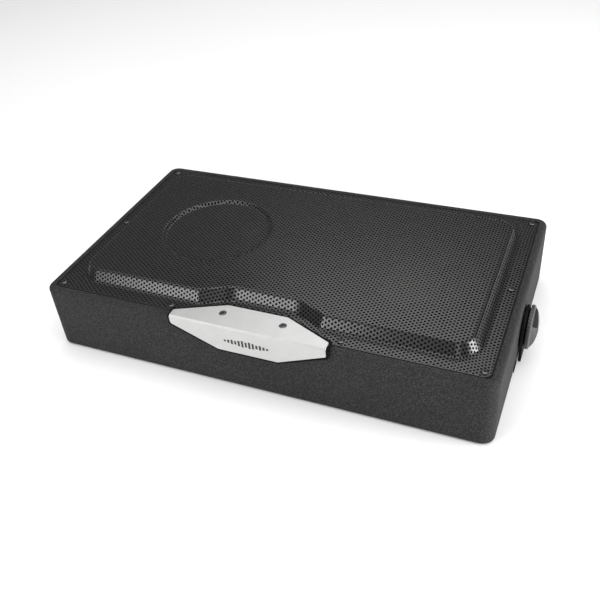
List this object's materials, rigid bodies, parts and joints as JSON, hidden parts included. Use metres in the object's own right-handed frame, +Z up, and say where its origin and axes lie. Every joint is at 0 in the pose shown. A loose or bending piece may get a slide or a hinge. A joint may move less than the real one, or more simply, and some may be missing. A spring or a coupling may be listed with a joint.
{
  "type": "powered car subwoofer",
  "caption": "Low flat powered subwoofer for a car: coated board cabinet, pressed perforated grille, driven woofer, passive radiator and side clamp straps.",
  "frame": {"origin": "centre of the cabinet's underside, on the surface that it stands on", "axes": "+X to the woofer's side (right), -Y to the badge (front), +Z up"},
  "size_m": [0.554, 0.3153, 0.0964],
  "materials": {
    "coated_board": "MDF board under a fine textured black coating",
    "bare_board": "MDF sprayed flat black",
    "grille_steel": "perforated steel, satin black powder coat",
    "screw_steel": "black oxide steel",
    "badge_metal": "satin silver die casting",
    "pad_rubber": "black rubber",
    "driver_steel": "pressed steel, black paint",
    "ferrite": "sintered ferrite",
    "plated_steel": "zinc-plated steel",
    "coil_copper": "lacquered copper winding",
    "spider_cloth": "resin-stiffened cotton",
    "cone_paper": "black pressed pulp",
    "surround_rubber": "black rubber",
    "panel_aluminium": "black anodised aluminium",
    "chassis_aluminium": "bare extruded aluminium",
    "black_plastic": "moulded black plastic",
    "socket_brass": "gold-plated brass",
    "light_blue": "clear blue plastic",
    "fuse_amber": "tinted plastic",
    "circuit_board": "glass-epoxy board",
    "strap_steel": "black-painted steel"
  },
  "bodies": {
    "cabinet": {"cabinet_front": "coated_board", "cabinet_back": "coated_board", "cabinet_left": "coated_board", "cabinet_right": "coated_board", "cabinet_floor": "coated_board", "baffle_board": "bare_board", "grille_screw_front_left": "screw_steel", "grille_screw_front_right": "screw_steel", "grille_screw_back_left": "screw_steel", "grille_screw_back_right": "screw_steel", "grille_screw_side_left": "screw_steel", "grille_screw_side_right": "screw_steel", "grille_screw_mid_left": "screw_steel", "grille_screw_mid_right": "screw_steel", "badge_pad": "pad_rubber", "badge_plate": "badge_metal", "badge_screw_left": "screw_steel", "badge_screw_right": "screw_steel", "grille_sheet": "grille_steel", "woofer_basket": "driver_steel", "woofer_magnet": "ferrite", "woofer_top_plate": "plated_steel", "woofer_yoke": "plated_steel", "radiator_frame": "driver_steel", "amp_panel": "panel_aluminium", "panel_screw_lower_left": "screw_steel", "panel_screw_lower_right": "screw_steel", "panel_screw_upper_left": "screw_steel", "panel_screw_upper_right": "screw_steel", "rca_socket_left": "socket_brass", "rca_socket_right": "socket_brass", "status_light": "light_blue", "power_terminal": "black_plastic", "speaker_input": "black_plastic", "fuse": "fuse_amber", "amp_chassis": "chassis_aluminium", "amp_board": "circuit_board", "supply_choke": "coil_copper", "supply_capacitor": "black_plastic", "woofer_lead": "pad_rubber", "side_bumper_left": "pad_rubber", "side_bumper_right": "pad_rubber"},
    "woofer_cone": {"voice_coil": "coil_copper", "spider": "spider_cloth", "woofer_cone": "cone_paper", "dust_cap": "cone_paper", "woofer_surround": "surround_rubber"},
    "radiator_plate": {"radiator_plate": "cone_paper", "radiator_weight": "plated_steel", "radiator_surround": "surround_rubber"},
    "level_knob": {"level_knob": "black_plastic"},
    "crossover_knob": {"crossover_knob": "black_plastic"},
    "boost_knob": {"boost_knob": "black_plastic"},
    "phase_switch": {"phase_switch": "black_plastic"},
    "strap_left": {"strap_left": "strap_steel"},
    "clamp_washer_left": {"clamp_washer_left": "pad_rubber"},
    "clamp_knob_left": {"clamp_knob_left": "black_plastic"},
    "strap_right": {"strap_right": "strap_steel"},
    "clamp_washer_right": {"clamp_washer_right": "pad_rubber"},
    "clamp_knob_right": {"clamp_knob_right": "black_plastic"}
  },
  "joints": [
    {"name": "woofer_stroke", "type": "slide", "parent": "cabinet", "child": "woofer_cone", "axis": [0, 0, 1], "range_m": [-0.006, 0.006], "stiffness_N_per_m": 4000, "deforming": ["woofer_surround", "spider"]},
    {"name": "radiator_stroke", "type": "slide", "parent": "cabinet", "child": "radiator_plate", "axis": [0, 0, 1], "range_m": [-0.008, 0.008], "stiffness_N_per_m": 3000, "deforming": ["radiator_surround"]},
    {"name": "level_turn", "type": "hinge", "parent": "cabinet", "child": "level_knob", "pos_m": [-0.067, 0.1503, 0.054], "axis": [0, -1, 0], "range_deg": [-140, 140]},
    {"name": "crossover_turn", "type": "hinge", "parent": "cabinet", "child": "crossover_knob", "pos_m": [-0.089, 0.1503, 0.054], "axis": [0, -1, 0], "range_deg": [-140, 140]},
    {"name": "boost_turn", "type": "hinge", "parent": "cabinet", "child": "boost_knob", "pos_m": [-0.111, 0.1503, 0.054], "axis": [0, -1, 0], "range_deg": [-140, 140]},
    {"name": "phase_slide", "type": "slide", "parent": "cabinet", "child": "phase_switch", "axis": [1, 0, 0], "range_m": [0, 0.004]},
    {"name": "strap_left_swing", "type": "hinge", "parent": "cabinet", "child": "strap_left", "pos_m": [-0.26, -0.005, 0.042], "axis": [-1, 0, 0], "range_deg": [-95, 95]},
    {"name": "clamp_left_travel", "type": "slide", "parent": "cabinet", "child": "clamp_washer_left", "axis": [-1, 0, 0], "range_m": [0, 0.00201]},
    {"name": "clamp_left_turn", "type": "hinge", "parent": "clamp_washer_left", "child": "clamp_knob_left", "pos_m": [-0.26, -0.005, 0.042], "axis": [-1, 0, 0], "range_deg": [0, 720]},
    {"name": "strap_right_swing", "type": "hinge", "parent": "cabinet", "child": "strap_right", "pos_m": [0.26, -0.005, 0.042], "axis": [1, 0, 0], "range_deg": [-95, 95]},
    {"name": "clamp_right_travel", "type": "slide", "parent": "cabinet", "child": "clamp_washer_right", "axis": [1, 0, 0], "range_m": [0, 0.00201]},
    {"name": "clamp_right_turn", "type": "hinge", "parent": "clamp_washer_right", "child": "clamp_knob_right", "pos_m": [0.26, -0.005, 0.042], "axis": [1, 0, 0], "range_deg": [0, 720]}
  ],
  "couplings": [
    {"joint": "clamp_left_travel", "follows": "clamp_left_turn", "m_per_rad": 0.000159},
    {"joint": "clamp_right_travel", "follows": "clamp_right_turn", "m_per_rad": 0.000159}
  ]
}
